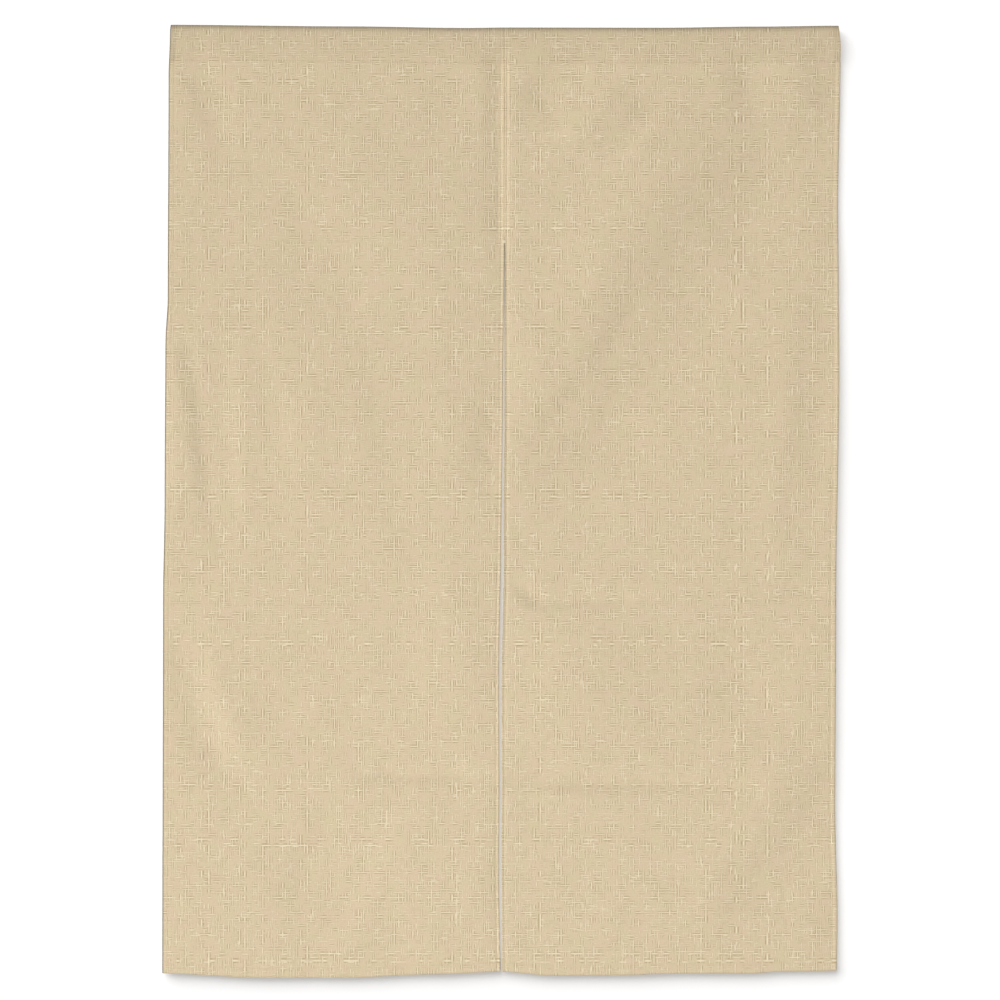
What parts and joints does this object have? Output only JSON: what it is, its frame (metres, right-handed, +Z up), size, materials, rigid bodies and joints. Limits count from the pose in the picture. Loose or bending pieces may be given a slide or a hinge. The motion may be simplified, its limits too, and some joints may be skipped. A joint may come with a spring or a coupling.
{
  "type": "noren curtain",
  "caption": "Plain cloth doorway curtain in two hemmed panels, sewn together at the top and split below, with a rod pocket along its heading.",
  "frame": {"origin": "middle of the heading's top edge, where the cloth passes over its rod", "axes": "+Z up, X along the top edge, front of the curtain towards -Y"},
  "size_m": [0.859, 0.0178, 1.2064],
  "materials": {
    "heading_cloth": "slubby plain-weave linen look, matt, doubled over the pocket",
    "panel_cloth": "slubby plain-weave linen look, matt"
  },
  "bodies": {
    "root": {"heading": "heading_cloth", "panel_left": "panel_cloth", "panel_right": "panel_cloth"}
  },
  "joints": []
}
